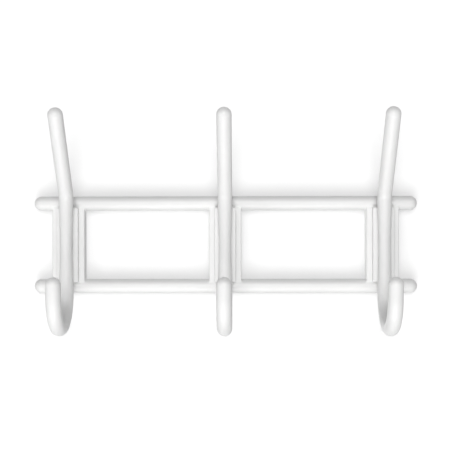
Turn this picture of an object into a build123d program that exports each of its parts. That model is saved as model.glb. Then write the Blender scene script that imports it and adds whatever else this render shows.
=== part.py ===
from build123d import *
import math
import os

os.makedirs("parts", exist_ok=True)

# Wall coat rack. X runs along the rails, the wall is the plane Y = 0, the front faces -Y and Z is up.
# All lengths are in millimetres and all angles in degrees.
bar_radius = 7.5
rail_length = 400.0
rail_spacing = 86.5
hook_pitch = 163.5

# Wall channel, a U-shaped section between the two rails with its open side to the wall
channel_width = 33.5
channel_depth = 13.0
channel_thickness = 3.0
channel_edge_radius = 1.0
channel_inner_radius = 1.5

# Hook plate, a flat bar in front of the channel and behind the rod
hook_plate_width = 22.0
hook_plate_height = 77.0
hook_plate_thickness = 6.5
hook_plate_corner_radius = 1.5
hook_plate_edge_radius = 0.8

# Keyhole that hangs the rack on a wall screw, and the slot in the hook plate for that screw's head
keyhole_entry_radius = 5.0
keyhole_entry_z = -6.0
keyhole_seat_radius = 2.6
keyhole_seat_z = 6.0
head_slot_width = 11.0

# Countersunk socket screws that hold each hook from behind
screw_z = 27.0
screw_length = 16.0
screw_shank_radius = 2.45
screw_head_recess = 0.4
screw_head_gap = 0.02
countersink_radius = 5.2
countersink_angle = 90.0
clearance_hole_radius = 2.75
tapped_hole_radius = 2.5
tapped_hole_depth = 9.0
socket_across_flats = 3.0
socket_depth = 1.6

# Bent rod: a hat hook that leans forward above the rails, and a coat hook bent into a U below them.
# Its upright tapers from both bends to a waist, and a flat on its back sits on the hook plate.
hat_lean = 37.0
hat_length = 96.2
hat_bend_z = 50.5
hat_bend_radius = 18.3
coat_bend_z = -47.5
coat_bend_radius = 34.5
coat_lean = 4.7
coat_leg_length = 13.9
waist_radius = 6.3
waist_length = 20.0
rod_seat = 6.0
seat_clearance = 0.25

# Weld round each end of a channel: a fillet across its front and a bead down each side
front_weld_radius = 3.5
side_weld_radius = 1.4

# Weld beads in the crevice between a rod and its hook plate
rod_weld_inner = 3.0
rod_weld_toe = 7.0
rod_weld_angle = 48.0
rod_weld_start_z = 14.0
rod_weld_end_z = 37.0

rail_y = -bar_radius
rail_z = rail_spacing / 2
channel_front = rail_y - channel_depth / 2
channel_back = rail_y + channel_depth / 2
web_back = channel_front + channel_thickness
hook_plate_front = channel_front - hook_plate_thickness
rod_y = hook_plate_front - rod_seat
hook_x = {"left": -hook_pitch, "centre": 0.0, "right": hook_pitch}
screw_places = {"upper": screw_z, "lower": -screw_z}


def facing_wall(y, z):
    """Plane on the hook's centre line whose normal points at the wall."""
    return Plane((0, y, z), x_dir=(1, 0, 0), z_dir=(0, 1, 0))


def side_section(y, z):
    """Plane across the rails on the hook's centre line, with Y to the right and Z up."""
    return Plane((0, y, z), x_dir=(0, 1, 0), z_dir=(1, 0, 0))


# Rails with domed ends
for name, z in {"top_rail": rail_z, "bottom_rail": -rail_z}.items():
    dome_start = rail_length / 2 - bar_radius
    with BuildPart() as rail:
        with BuildSketch(Plane((0, rail_y, z))):
            with BuildLine():
                Line((-rail_length / 2, 0), (rail_length / 2, 0))
                CenterArc((dome_start, 0), bar_radius, 0, 90)
                Line((dome_start, bar_radius), (-dome_start, bar_radius))
                CenterArc((-dome_start, 0), bar_radius, 90, 90)
            make_face()
        revolve(axis=Axis((0, rail_y, z), (1, 0, 0)))
    rail.part.label = name
    export_step(rail.part, f"parts/{name}.step")

with BuildPart() as wall_channel:
    with BuildSketch(Plane.XY.offset(-rail_z)) as section:
        with Locations((0, rail_y)):
            Rectangle(channel_width, channel_depth)
        with Locations((0, (web_back + channel_back) / 2)):
            Rectangle(
                channel_width - 2 * channel_thickness,
                channel_back - web_back,
                mode=Mode.SUBTRACT,
            )
        front_corners, inner_corners, _ = section.vertices().group_by(Axis.Y)
        fillet(front_corners, channel_edge_radius)
        fillet(inner_corners, channel_inner_radius)
    extrude(amount=rail_spacing)
    with Locations((0, rail_y, rail_z), (0, rail_y, -rail_z)):
        Cylinder(bar_radius, 2 * channel_width, rotation=(0, 90, 0), mode=Mode.SUBTRACT)
    with BuildSketch(facing_wall(channel_front, 0)):
        with Locations((0, -keyhole_entry_z)):
            Circle(keyhole_entry_radius)
        with Locations((0, -keyhole_seat_z)):
            Circle(keyhole_seat_radius)
        with Locations((0, -(keyhole_entry_z + keyhole_seat_z) / 2)):
            Rectangle(2 * keyhole_seat_radius, keyhole_seat_z - keyhole_entry_z)
    extrude(amount=channel_thickness, mode=Mode.SUBTRACT)
    for z in screw_places.values():
        with Locations(facing_wall(web_back, z)):
            CounterSinkHole(
                clearance_hole_radius,
                countersink_radius,
                channel_thickness,
                countersink_angle,
            )

with BuildPart() as hook_plate:
    with Locations((0, channel_front - hook_plate_thickness / 2, 0)):
        Box(hook_plate_width, hook_plate_thickness, hook_plate_height)
    fillet(hook_plate.edges().filter_by(Axis.Y), hook_plate_corner_radius)
    fillet(hook_plate.faces().sort_by(Axis.Y)[0].edges(), hook_plate_edge_radius)
    with BuildSketch(facing_wall(hook_plate_front, 0)):
        SlotCenterToCenter(keyhole_seat_z - keyhole_entry_z, head_slot_width, rotation=90)
        with Locations((0, screw_z), (0, -screw_z)):
            Circle(clearance_hole_radius)
    extrude(amount=hook_plate_thickness, mode=Mode.SUBTRACT)

hat = math.radians(hat_lean)
coat = math.radians(coat_lean)
upright_top = hat_bend_z - hat_bend_radius * math.tan(hat / 2)
upright_middle = (upright_top + coat_bend_z) / 2
hat_tip = (-hat_length * math.sin(hat), hat_bend_z + hat_length * math.cos(hat))
hat_bend_start = (
    hat_bend_radius * (math.cos(hat) - 1),
    upright_top + hat_bend_radius * math.sin(hat),
)
hat_bend_middle = (
    hat_bend_radius * (math.cos(hat / 2) - 1),
    upright_top + hat_bend_radius * math.sin(hat / 2),
)
coat_bottom = (-coat_bend_radius, coat_bend_z - coat_bend_radius)
coat_end = (
    -coat_bend_radius * (1 + math.cos(coat)),
    coat_bend_z - coat_bend_radius * math.sin(coat),
)
coat_tip = (
    coat_end[0] - coat_leg_length * math.sin(coat),
    coat_end[1] + coat_leg_length * math.cos(coat),
)

with BuildPart() as hook_rod:
    with BuildLine(side_section(rod_y, 0)) as hat_line:
        Line(hat_tip, hat_bend_start)
        ThreePointArc(hat_bend_start, hat_bend_middle, (0, upright_top))
    with BuildSketch(Plane(hat_line.line @ 0, z_dir=hat_line.line % 0)):
        Circle(bar_radius)
    sweep()
    with BuildSketch(side_section(rod_y, 0)):
        Polygon(
            (0, upright_top),
            (bar_radius, upright_top),
            (waist_radius, upright_middle + waist_length / 2),
            (waist_radius, upright_middle - waist_length / 2),
            (bar_radius, coat_bend_z),
            (0, coat_bend_z),
            align=None,
        )
    revolve(axis=Axis((0, rod_y, 0), (0, 0, 1)))
    with BuildLine(side_section(rod_y, 0)) as coat_line:
        ThreePointArc((0, coat_bend_z), coat_bottom, coat_end)
        Line(coat_end, coat_tip)
    with BuildSketch(Plane(coat_line.line @ 0, z_dir=coat_line.line % 0)):
        Circle(bar_radius)
    sweep()
    with Locations(hat_line.line @ 0, coat_line.line @ 1):
        Sphere(bar_radius)
    with Locations((0, hook_plate_front + bar_radius / 2, 0)):
        Box(
            2 * bar_radius,
            bar_radius,
            hook_plate_height + 2 * seat_clearance,
            mode=Mode.SUBTRACT,
        )
    for z in screw_places.values():
        with Locations(facing_wall(hook_plate_front, z)):
            Hole(tapped_hole_radius, tapped_hole_depth)

with BuildPart() as rod_welds:
    weld_angle = math.radians(rod_weld_angle)
    weld_top = rod_y + waist_radius * math.cos(weld_angle)
    for start in (rod_weld_start_z, -rod_weld_end_z):
        with BuildSketch(Plane.XY.offset(start)):
            for way in (-1, 1):
                Polygon(
                    (way * rod_weld_inner, hook_plate_front),
                    (way * rod_weld_toe, hook_plate_front),
                    (way * waist_radius * math.sin(weld_angle), weld_top),
                    (way * rod_weld_inner, weld_top),
                    align=None,
                )
        extrude(amount=rod_weld_end_z - rod_weld_start_z)
    add(hook_rod.part, mode=Mode.SUBTRACT)

# Where the arc of the front fillet meets the channel and the rail, measured from the rail's centre
fillet_y = -channel_depth / 2 - front_weld_radius
fillet_reach = bar_radius + front_weld_radius
fillet_z = -math.sqrt(fillet_reach**2 - fillet_y**2)
on_channel = (-channel_depth / 2, fillet_z)
on_rail = (bar_radius * fillet_y / fillet_reach, bar_radius * fillet_z / fillet_reach)

# Angle about the rail between its lowest line and the front of the channel
bead_angle = math.asin(channel_depth / 2 / bar_radius)
bead_normal = (0, -math.cos(bead_angle), math.sin(bead_angle))
bead_inside = channel_width / 2 - channel_edge_radius
bead_foot = channel_width / 2 + side_weld_radius

with BuildPart() as top_weld:
    with BuildSketch(Plane((0, rail_y, rail_z), x_dir=(1, 0, 0), z_dir=bead_normal)):
        for way in (-1, 1):
            bead_top = (way * channel_width / 2, -bar_radius - side_weld_radius)
            with BuildLine():
                TangentArc((way * bead_foot, -bar_radius), bead_top, tangent=(-way, 0))
                Polyline(
                    bead_top,
                    (way * bead_inside, -bar_radius - side_weld_radius),
                    (way * bead_inside, -bar_radius / 2),
                    (way * bead_foot, -bar_radius / 2),
                    (way * bead_foot, -bar_radius),
                )
            make_face()
    revolve(
        axis=Axis((0, rail_y, rail_z), (1, 0, 0)),
        revolution_arc=math.degrees(2 * bead_angle),
    )
    with Locations((0, rail_y, rail_z)):
        Box(2 * bead_foot, channel_depth, 4 * bar_radius, mode=Mode.INTERSECT)
    with BuildSketch(side_section(rail_y, rail_z)):
        with BuildLine():
            TangentArc(on_channel, on_rail, tangent=(0, 1))
            Polyline(on_rail, (0, 0), on_channel)
        make_face()
    extrude(amount=channel_width / 2, both=True)
    with Locations((0, rail_y, rail_z)):
        Cylinder(bar_radius, 2 * channel_width, rotation=(0, 90, 0), mode=Mode.SUBTRACT)
    add(wall_channel.part, mode=Mode.SUBTRACT)

with BuildPart() as bottom_weld:
    mirror(top_weld.part, about=Plane.XY)

pieces = {
    "wall_channel": wall_channel.part,
    "hook_plate": hook_plate.part,
    "hook_rod": hook_rod.part,
    "rod_welds": rod_welds.part,
    "top_weld": top_weld.part,
    "bottom_weld": bottom_weld.part,
}

head_y = web_back - screw_head_recess
head_radius = countersink_radius - screw_head_recess - screw_head_gap
neck_y = head_y - head_radius + screw_shank_radius
for place, z in screw_places.items():
    with BuildPart() as screw:
        with BuildSketch(Plane.XY.offset(z)):
            Polygon(
                (0, head_y),
                (head_radius, head_y),
                (screw_shank_radius, neck_y),
                (screw_shank_radius, head_y - screw_length),
                (0, head_y - screw_length),
                align=None,
            )
        revolve(axis=Axis((0, 0, z), (0, 1, 0)))
        with BuildSketch(facing_wall(head_y, z)):
            RegularPolygon(socket_across_flats / 2, 6, major_radius=False)
        extrude(amount=-socket_depth, mode=Mode.SUBTRACT)
    pieces[f"{place}_hook_screw"] = screw.part

# The same set of pieces stands at each of the three hooks
for side, x in hook_x.items():
    for name, piece in pieces.items():
        with BuildPart() as placed:
            with Locations((x, 0, 0)):
                add(piece)
        placed.part.label = f"{side}_{name}"
        export_step(placed.part, f"parts/{side}_{name}.step")
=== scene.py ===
import bpy
import bmesh
import math
from mathutils import Matrix, Vector


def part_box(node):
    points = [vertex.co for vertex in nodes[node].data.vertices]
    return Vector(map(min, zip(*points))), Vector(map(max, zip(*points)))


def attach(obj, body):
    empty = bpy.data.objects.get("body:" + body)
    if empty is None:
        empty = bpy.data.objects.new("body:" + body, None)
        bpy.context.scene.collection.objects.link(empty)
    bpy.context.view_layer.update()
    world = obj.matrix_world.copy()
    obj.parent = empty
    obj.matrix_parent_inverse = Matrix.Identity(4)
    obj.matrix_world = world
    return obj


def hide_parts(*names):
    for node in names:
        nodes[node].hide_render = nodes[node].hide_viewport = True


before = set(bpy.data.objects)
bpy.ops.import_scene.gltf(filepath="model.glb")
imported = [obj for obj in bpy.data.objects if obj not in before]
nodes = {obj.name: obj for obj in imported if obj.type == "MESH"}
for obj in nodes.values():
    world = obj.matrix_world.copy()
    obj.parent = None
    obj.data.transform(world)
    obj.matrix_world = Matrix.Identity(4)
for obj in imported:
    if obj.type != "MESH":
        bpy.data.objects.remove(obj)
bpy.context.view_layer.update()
sides = ("left", "centre", "right")
print("frame loaded:", len(nodes), "nodes")


# shader nodes that the materials share, each returning the socket to link on
def addNoise(tree, scale, detail):
    coords = tree.nodes.new("ShaderNodeTexCoord")
    noise = tree.nodes.new("ShaderNodeTexNoise")
    noise.inputs["Scale"].default_value = scale
    noise.inputs["Detail"].default_value = detail
    tree.links.new(coords.outputs["Object"], noise.inputs["Vector"])
    return noise.outputs["Fac"]


def addTone(tree, noise, stops, colours):
    tone = tree.nodes.new("ShaderNodeValToRGB")
    for mark, stop, colour in zip(tone.color_ramp.elements, stops, colours):
        mark.position = stop
        mark.color = colour
    tree.links.new(noise, tone.inputs["Fac"])
    return tone.outputs["Color"]


def addBump(tree, noise, height):
    bump = tree.nodes.new("ShaderNodeBump")
    bump.inputs["Distance"].default_value = height
    tree.links.new(noise, bump.inputs["Height"])
    return bump.outputs["Normal"]


def addRange(tree, value, start=(0.0, 1.0), end=(0.0, 1.0)):
    spread = tree.nodes.new("ShaderNodeMapRange")
    for name, number in zip(("From Min", "From Max", "To Min", "To Max"), start + end):
        spread.inputs[name].default_value = number
    tree.links.new(value, spread.inputs["Value"])
    return spread.outputs["Result"]


def addMath(tree, operation, first, second):
    worked = tree.nodes.new("ShaderNodeMath")
    worked.operation = operation
    tree.links.new(first, worked.inputs[0])
    tree.links.new(second, worked.inputs[1])
    return worked.outputs[0]


# powder coat, the white finish of everything but the screws
powderCoat = {
    "tones": ((0.82, 0.82, 0.815, 1.0), (0.84, 0.84, 0.836, 1.0)),
    "toneStops": (0.35, 0.65),
    "cloudScale": 35.0,       # slow change of tone and gloss, per metre
    "cloudDetail": 3.0,
    "peelScale": 700.0,       # orange peel, per metre
    "peelDetail": 2.0,
    "peelHeight": 0.0001,
    "roughness": (0.34, 0.46),
    "ior": 1.5,
}


def makePowderCoat():
    mat = bpy.data.materials.new("whitePowderCoat")
    mat.use_nodes = True
    tree = mat.node_tree
    bsdf = tree.nodes["Principled BSDF"]
    bsdf.inputs["IOR"].default_value = powderCoat["ior"]
    cloud = addNoise(tree, powderCoat["cloudScale"], powderCoat["cloudDetail"])
    tone = addTone(tree, cloud, powderCoat["toneStops"], powderCoat["tones"])
    gloss = addRange(tree, cloud, end=powderCoat["roughness"])
    peel = addNoise(tree, powderCoat["peelScale"], powderCoat["peelDetail"])
    bump = addBump(tree, peel, powderCoat["peelHeight"])
    tree.links.new(tone, bsdf.inputs["Base Color"])
    tree.links.new(gloss, bsdf.inputs["Roughness"])
    tree.links.new(bump, bsdf.inputs["Normal"])
    return mat


# zinc plating, the finish of the screws
zinc = {
    "tones": ((0.54, 0.56, 0.59, 1.0), (0.68, 0.69, 0.69, 1.0)),
    "toneStops": (0.35, 0.65),
    "cloudScale": 320.0,      # patches in the plating, per metre
    "cloudDetail": 3.0,
    "grainScale": 2600.0,     # grain of the plating, per metre
    "grainDetail": 2.0,
    "grainHeight": 0.00001,
    "roughness": (0.26, 0.46),
    "metallic": 1.0,
}


def makeZinc():
    mat = bpy.data.materials.new("zincPlate")
    mat.use_nodes = True
    tree = mat.node_tree
    bsdf = tree.nodes["Principled BSDF"]
    bsdf.inputs["Metallic"].default_value = zinc["metallic"]
    cloud = addNoise(tree, zinc["cloudScale"], zinc["cloudDetail"])
    tone = addTone(tree, cloud, zinc["toneStops"], zinc["tones"])
    grain = addNoise(tree, zinc["grainScale"], zinc["grainDetail"])
    gloss = addRange(tree, grain, end=zinc["roughness"])
    bump = addBump(tree, grain, zinc["grainHeight"])
    tree.links.new(tone, bsdf.inputs["Base Color"])
    tree.links.new(gloss, bsdf.inputs["Roughness"])
    tree.links.new(bump, bsdf.inputs["Normal"])
    return mat


coatMat = makePowderCoat()
zincMat = makeZinc()
for name, node in nodes.items():
    node.data.materials.clear()
    node.data.materials.append(zincMat if name.endswith("screw") else coatMat)
print("materials made")


mergeDistance = 0.000001


def finishPiece(bm, name, replaced, mat=coatMat):
    bmesh.ops.remove_doubles(bm, verts=bm.verts, dist=mergeDistance)
    bmesh.ops.recalc_face_normals(bm, faces=bm.faces)
    mesh = bpy.data.meshes.new(name)
    bm.to_mesh(mesh)
    bm.free()
    mesh.shade_smooth()
    mesh.materials.append(mat)
    piece = bpy.data.objects.new(name, mesh)
    bpy.context.scene.collection.objects.link(piece)
    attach(piece, "root")
    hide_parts(replaced)
    return piece


# steps that the rods, beads and screws share, on a ring of edges
def edgesIn(geom):
    return [g for g in geom if isinstance(g, bmesh.types.BMEdge)]


def eachOnce(items):
    return list(dict.fromkeys(items))     # in order, so that every run gives the same shape


def ringOf(made):
    return eachOnce(e for v in made["verts"] for e in v.link_edges)


def drawOut(bm, ring, along):
    made = bmesh.ops.extrude_edge_only(bm, edges=ring)["geom"]
    verts = [g for g in made if isinstance(g, bmesh.types.BMVert)]
    bmesh.ops.translate(bm, verts=verts, vec=along)
    return [e for e in edgesIn(made) if all(v in verts for v in e.verts)]


def resize(bm, ring, factor):
    verts = eachOnce(v for e in ring for v in e.verts)
    centre = sum((v.co for v in verts), Vector()) / len(verts)
    bmesh.ops.scale(bm, verts=verts, vec=(factor, factor, factor), space=Matrix.Translation(-centre))


def bend(bm, ring, centre, angle, steps):
    bent = bmesh.ops.spin(bm, geom=ring, cent=centre, axis=(1, 0, 0), angle=angle, steps=steps)
    return edgesIn(bent["geom_last"])


def closeDome(bm, ring, outward, radius, rings):
    turn = math.pi / 2 / rings
    for i in range(rings):
        rise = math.sin(turn * (i + 1)) - math.sin(turn * i)
        ring = drawOut(bm, ring, outward * radius * rise)
        resize(bm, ring, math.cos(turn * (i + 1)) / math.cos(turn * i))


# rails: a sphere cut at its waist and drawn out into a bar with domed ends
railShape = {
    "segments": 64,
    "sphereRings": 32,
    "waistBand": 0.001,       # edges this close to the middle are cut, as a share of the radius
}


def makeRail(node, name):
    low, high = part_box(node)
    radius = (high.z - low.z) / 2
    drawn = (high.x - low.x) / 2 - radius
    bm = bmesh.new()
    bmesh.ops.create_uvsphere(
        bm,
        u_segments=railShape["segments"],
        v_segments=railShape["sphereRings"],
        radius=radius,
        matrix=Matrix.Rotation(math.pi / 2, 4, "Y"),
    )
    band = radius * railShape["waistBand"]
    waist = [e for e in bm.edges if all(abs(v.co.x) < band for v in e.verts)]
    bmesh.ops.split_edges(bm, edges=waist)
    for way in (-1, 1):
        dome = [f for f in bm.faces if f.calc_center_median().x * way > 0]
        domeVerts = eachOnce(v for f in dome for v in f.verts)
        bmesh.ops.translate(bm, verts=domeVerts, vec=(way * drawn, 0, 0))
    openEdges = [e for e in bm.edges if e.is_boundary]
    bmesh.ops.bridge_loops(bm, edges=openEdges)
    bmesh.ops.translate(bm, verts=bm.verts, vec=(low + high) / 2)
    finishPiece(bm, name, node)


makeRail("top_rail", "topRail")
makeRail("bottom_rail", "bottomRail")
print("rails made")


# hook rod: a ring drawn along the rod's centre line, from the hat tip down to the coat tip
hookRod = {
    "radius": 0.0075,
    "axisY": -0.0265,             # the upright's centre line
    "hatLean": math.radians(37.0),
    "hatLength": 0.0962,
    "hatBendZ": 0.0505,           # where the hat hook's and the upright's centre lines cross
    "hatBendRadius": 0.0183,
    "coatBendZ": -0.0475,         # the coat bend's middle
    "coatBendRadius": 0.0345,
    "coatLean": math.radians(4.7),
    "coatLeg": 0.0139,
    "waistRadius": 0.0063,
    "waistLength": 0.020,
    "seatHalfHeight": 0.03875,    # flat on the upright's back, which sits on the hook plate
    "seatStep": 0.0001,
    "segments": 64,
    "domeRings": 16,
    "bendSteps": 24,
    "hookSteps": 72,
    "taperSteps": 8,
}


# upright: drawn down from the hat bend, tapered to its waist and out again,
# then pressed flat at the back
def drawUpright(bm, ring, top, seatY):
    bottom, waist = hookRod["coatBendZ"], hookRod["waistRadius"]
    taper = (top - bottom - hookRod["waistLength"]) / 2
    upper = [top - taper * i / hookRod["taperSteps"] for i in range(1, hookRod["taperSteps"] + 1)]
    lower = [bottom + top - z for z in upper]
    seat, step = hookRod["seatHalfHeight"], hookRod["seatStep"]
    heights = upper + lower + [bottom, seat, seat - step, step - seat, -seat]
    here, size = top, hookRod["radius"]
    for z in sorted(heights, reverse=True):
        along = min(1.0, (top - z) / taper, (z - bottom) / taper)
        wanted = hookRod["radius"] + (waist - hookRod["radius"]) * along
        ring = drawOut(bm, ring, Vector((0, 0, z - here)))
        resize(bm, ring, wanted / size)
        here, size = z, wanted
    behind = [v for v in bm.verts if abs(v.co.z) < seat - step / 2 and v.co.y > seatY]
    bmesh.ops.scale(bm, verts=behind, vec=(1, 0, 1), space=Matrix.Translation((0, -seatY, 0)))
    return ring


def makeHookRod(side):
    radius = hookRod["radius"]
    low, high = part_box(side + "_hook_rod")
    axis = Vector(((low.x + high.x) / 2, hookRod["axisY"], 0))
    lean, coatLean = hookRod["hatLean"], hookRod["coatLean"]
    down = Vector((0, math.sin(lean), -math.cos(lean)))
    up = Vector((0, -math.sin(coatLean), math.cos(coatLean)))

    # hat hook, from its domed tip to the bend
    hatTip = axis + Vector((0, 0, hookRod["hatBendZ"])) - down * hookRod["hatLength"]
    tangent = hookRod["hatBendRadius"] * math.tan(lean / 2)
    bm = bmesh.new()
    made = bmesh.ops.create_circle(
        bm,
        segments=hookRod["segments"],
        radius=radius,
        matrix=Matrix.Translation(hatTip) @ Matrix.Rotation(lean, 4, "X"),
    )
    tipRing = ringOf(made)
    closeDome(bm, tipRing, -down, radius, hookRod["domeRings"])
    ring = drawOut(bm, tipRing, down * (hookRod["hatLength"] - tangent))

    # bend and upright
    top = hookRod["hatBendZ"] - tangent
    hatCentre = axis + Vector((0, -hookRod["hatBendRadius"], top))
    ring = bend(bm, ring, hatCentre, -lean, hookRod["bendSteps"])
    ring = drawUpright(bm, ring, top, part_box(side + "_hook_plate")[0].y)

    # coat hook, up to its domed tip
    coatCentre = axis + Vector((0, -hookRod["coatBendRadius"], hookRod["coatBendZ"]))
    ring = bend(bm, ring, coatCentre, coatLean - math.pi, hookRod["hookSteps"])
    ring = drawOut(bm, ring, up * hookRod["coatLeg"])
    closeDome(bm, ring, up, radius, hookRod["domeRings"])
    finishPiece(bm, side + "HookRod", side + "_hook_rod")


for side in sides:
    makeHookRod(side)
print("hook rods made")


# rod welds: rippled beads in the crevices between each rod and its hook plate
rodWeld = {
    "aside": 0.0046,          # bead's middle, sideways from the rod's
    "axisY": -0.0210,
    "radius": 0.0015,
    "rippleHeight": 0.00018,
    "ripplePitch": 0.0018,
    "stepsPerRipple": 6,
    "segments": 24,
    "domeRings": 6,
    "ends": ((0.016, 0.035), (-0.035, -0.016)),       # bottom and top of the beads on each side
}


def makeBead(bm, x, bottom, top):
    up = Vector((0, 0, 1))
    made = bmesh.ops.create_circle(
        bm,
        segments=rodWeld["segments"],
        radius=rodWeld["radius"],
        matrix=Matrix.Translation((x, rodWeld["axisY"], bottom)),
    )
    first = ringOf(made)
    closeDome(bm, first, -up, rodWeld["radius"], rodWeld["domeRings"])
    ripples = round((top - bottom) / rodWeld["ripplePitch"])
    steps = ripples * rodWeld["stepsPerRipple"]
    ring, size = first, rodWeld["radius"]
    for i in range(1, steps + 1):
        swell = abs(math.sin(math.pi * i / rodWeld["stepsPerRipple"]))
        wanted = rodWeld["radius"] + rodWeld["rippleHeight"] * swell
        ring = drawOut(bm, ring, up * (top - bottom) / steps)
        resize(bm, ring, wanted / size)
        size = wanted
    closeDome(bm, ring, up, size, rodWeld["domeRings"])


def makeRodWelds(side):
    low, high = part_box(side + "_rod_welds")
    bm = bmesh.new()
    for way in (-1, 1):
        for bottom, top in rodWeld["ends"]:
            makeBead(bm, (low.x + high.x) / 2 + way * rodWeld["aside"], bottom, top)
    finishPiece(bm, side + "RodWelds", side + "_rod_welds")


for side in sides:
    makeRodWelds(side)
print("rod welds made")


# hook screws: countersunk head with a hexagon socket, its rims slightly rounded
hookScrew = {
    "headRadius": 0.00478,
    "shankRadius": 0.00245,
    "length": 0.016,
    "socketSides": 6,
    "socketFlats": 0.003,     # across the flats
    "socketDepth": 0.0016,
    "rimRadius": 0.00018,
    "rimSegments": 3,
    "segments": 48,
    "socketCuts": 7,          # in each side, so that the bridge to the head's rim is even
    "sharpAngle": math.radians(30.0),
}


def makeHookScrew(node, name):
    low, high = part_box(node)
    head, shank = hookScrew["headRadius"], hookScrew["shankRadius"]
    bm = bmesh.new()
    rim = ringOf(bmesh.ops.create_circle(bm, segments=hookScrew["segments"], radius=head))
    corner = hookScrew["socketFlats"] / 2 / math.cos(math.pi / hookScrew["socketSides"])
    made = bmesh.ops.create_circle(bm, segments=hookScrew["socketSides"], radius=corner)
    cut = bmesh.ops.subdivide_edges(bm, edges=ringOf(made), cuts=hookScrew["socketCuts"])
    mouth = edgesIn(cut["geom"])
    bmesh.ops.bridge_loops(bm, edges=rim + mouth)
    floor = drawOut(bm, mouth, (0, 0, -hookScrew["socketDepth"]))
    bmesh.ops.contextual_create(bm, geom=floor)
    neck = drawOut(bm, rim, (0, 0, shank - head))
    resize(bm, neck, shank / head)
    end = drawOut(bm, neck, (0, 0, head - shank - hookScrew["length"]))
    bmesh.ops.contextual_create(bm, geom=end)
    bmesh.ops.bevel(
        bm,
        geom=rim + mouth,
        offset=hookScrew["rimRadius"],
        affect="EDGES",
        segments=hookScrew["rimSegments"],
        profile=0.5,
        material=-1,
    )
    place = Matrix.Translation(((low.x + high.x) / 2, high.y, (low.z + high.z) / 2))
    bmesh.ops.transform(bm, matrix=place @ Matrix.Rotation(-math.pi / 2, 4, "X"), verts=bm.verts)
    piece = finishPiece(bm, name, node, zincMat)
    piece.data.set_sharp_from_angle(angle=hookScrew["sharpAngle"])


for side in sides:
    for place in ("upper", "lower"):
        makeHookScrew(f"{side}_{place}_hook_screw", side + place.title() + "HookScrew")
print("hook screws made")


# wall behind the rack: white to the camera, with the rack's soft shadows from the lamps and painted
# shade close to it, and not there for anything else
wall = {
    "halfWidth": 3.0,
    "behind": 0.0003,
    "paint": (0.6, 0.6, 0.6, 1.0),
    "lift": 0.5,              # glow that brings the paint up to white
    "contactShade": 0.25,     # painted shade close to the rails and channels, from an occlusion test rather than the lamps
    "contactReach": 0.02,
    "contactFacing": (-0.17, -0.84, -0.51),       # way the painted shade's rays look, tipped towards the light
    "contactRays": 6,
    "fade": (0.35, 0.9),      # distances from the rack's middle, between which it turns plain white
}


# one shader over another, or over black
def addBlend(tree, share, over, under=None):
    blend = tree.nodes.new("ShaderNodeMixShader")
    tree.links.new(share, blend.inputs[0])
    if under:
        tree.links.new(under, blend.inputs[1])
    tree.links.new(over, blend.inputs[2])
    return blend.outputs[0]


def makeWallPaint():
    mat = bpy.data.materials.new("wallPaint")
    mat.use_nodes = True
    tree = mat.node_tree
    tree.nodes.clear()
    paint = tree.nodes.new("ShaderNodeBsdfDiffuse")
    paint.inputs["Color"].default_value = wall["paint"]
    lift = tree.nodes.new("ShaderNodeEmission")
    lift.inputs["Strength"].default_value = wall["lift"]
    lit = tree.nodes.new("ShaderNodeAddShader")
    tree.links.new(paint.outputs[0], lit.inputs[0])
    tree.links.new(lift.outputs[0], lit.inputs[1])

    # painted shade close to the rack, from an occlusion test rather than the lamps
    facing = tree.nodes.new("ShaderNodeCombineXYZ")
    for socket, part in zip(facing.inputs, wall["contactFacing"]):
        socket.default_value = part
    near = tree.nodes.new("ShaderNodeAmbientOcclusion")
    near.samples = wall["contactRays"]
    near.inputs["Distance"].default_value = wall["contactReach"]
    tree.links.new(facing.outputs[0], near.inputs["Normal"])
    paintedShadeShare = addRange(tree, near.outputs["AO"], end=(1.0 - wall["contactShade"], 1.0))
    shaded = addBlend(tree, paintedShadeShare, lit.outputs[0])

    # plain white away from the rack
    coords = tree.nodes.new("ShaderNodeTexCoord")
    away = tree.nodes.new("ShaderNodeVectorMath")
    away.operation = "LENGTH"
    tree.links.new(coords.outputs["Object"], away.inputs[0])
    fade = addRange(tree, away.outputs["Value"], start=wall["fade"])
    plain = tree.nodes.new("ShaderNodeEmission")
    faded = addBlend(tree, fade, plain.outputs[0], shaded)

    # there for the camera only, and only from the front
    path = tree.nodes.new("ShaderNodeLightPath")
    face = tree.nodes.new("ShaderNodeNewGeometry")
    front = addMath(tree, "SUBTRACT", path.outputs["Is Camera Ray"], face.outputs["Backfacing"])
    clear = tree.nodes.new("ShaderNodeBsdfTransparent")
    shown = addBlend(tree, front, faded, clear.outputs[0])
    out = tree.nodes.new("ShaderNodeOutputMaterial")
    tree.links.new(shown, out.inputs["Surface"])
    return mat


def makeWall():
    bm = bmesh.new()
    bmesh.ops.create_grid(
        bm,
        x_segments=1,
        y_segments=1,
        size=wall["halfWidth"],
        matrix=Matrix.Translation((0, wall["behind"], 0)) @ Matrix.Rotation(math.pi / 2, 4, "X"),
    )
    mesh = bpy.data.meshes.new("wall")
    bm.to_mesh(mesh)
    bm.free()
    mesh.materials.append(makeWallPaint())
    piece = bpy.data.objects.new("wall", mesh)
    bpy.context.scene.collection.objects.link(piece)


makeWall()
print("wall made")


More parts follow.
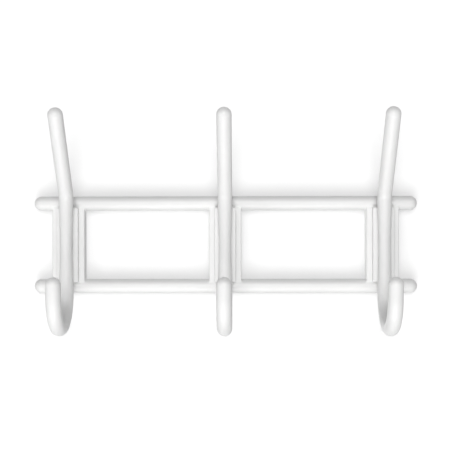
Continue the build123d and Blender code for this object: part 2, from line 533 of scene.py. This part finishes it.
# light: soft boxes in front and below, a weak one on the left and one behind, in a white room;
# the one behind adds no bounced light and isn't mirrored
softBoxes = {
    "front": {"place": (0.0, -1.90, 0.62), "size": 1.0, "watts": 16.9},
    "low": {"place": (0.0, -1.41, -1.41), "size": 1.5, "watts": 16.6},
    "lowLeft": {"place": (-0.48, -1.04, -1.64), "size": 1.5, "watts": 11.9},
    "left": {"place": (-1.9, -0.6, -0.1), "size": 1.0, "watts": 2.5},
    "back": {"place": (-0.5, 1.93, -0.15), "size": 0.64, "watts": 34.0, "bounces": 0, "mirrored": False},
}
room = {
    "colour": (1.0, 1.0, 1.0, 1.0),
    "strength": 0.26,
    "seen": 1.0,              # strength where the camera sees it, straight, mirrored or through glass
}


def makeSoftBox(name, box):
    data = bpy.data.lights.new(name + "SoftBox", "AREA")
    data.shape = "SQUARE"
    data.size = box["size"]
    data.energy = box["watts"]
    data.cycles.max_bounces = box.get("bounces", data.cycles.max_bounces)
    lamp = bpy.data.objects.new(name + "SoftBox", data)
    lamp.location = box["place"]
    lamp.visible_glossy = box.get("mirrored", True)
    aim = -lamp.location      # at the origin
    lamp.rotation_euler = aim.to_track_quat("-Z", "Y").to_euler()
    bpy.context.scene.collection.objects.link(lamp)


def makeRoom():
    world = bpy.data.worlds.new("room")
    bpy.context.scene.world = world
    world.use_nodes = True
    tree = world.node_tree
    glow = tree.nodes["Background"]
    glow.inputs["Color"].default_value = room["colour"]
    path = tree.nodes.new("ShaderNodeLightPath")
    seen = path.outputs["Is Camera Ray"]
    for ray in ("Is Glossy Ray", "Is Transmission Ray"):
        seen = addMath(tree, "ADD", seen, path.outputs[ray])
    strength = addRange(tree, seen, end=(room["strength"], room["seen"]))
    tree.links.new(strength, glow.inputs["Strength"])


for name, box in softBoxes.items():
    makeSoftBox(name, box)
makeRoom()
bpy.context.scene.view_settings.view_transform = "Standard"
print("lights made")


# camera: in front of the rack, a little to the right of its middle and turned back towards it
camera = {
    "place": (0.01426, -0.99712, 0.02091),
    "turn": (89.98, 0.1, 0.84),       # tilt, roll and pan, in degrees
    "focalPixels": 945.2,
    "picturePixels": 450.0,
}


def makeCamera():
    data = bpy.data.cameras.new("camera")
    data.lens = data.sensor_width * camera["focalPixels"] / camera["picturePixels"]
    eye = bpy.data.objects.new("camera", data)
    eye.location = camera["place"]
    eye.rotation_euler = [math.radians(a) for a in camera["turn"]]
    bpy.context.scene.collection.objects.link(eye)
    bpy.context.scene.camera = eye


makeCamera()
print("camera made")
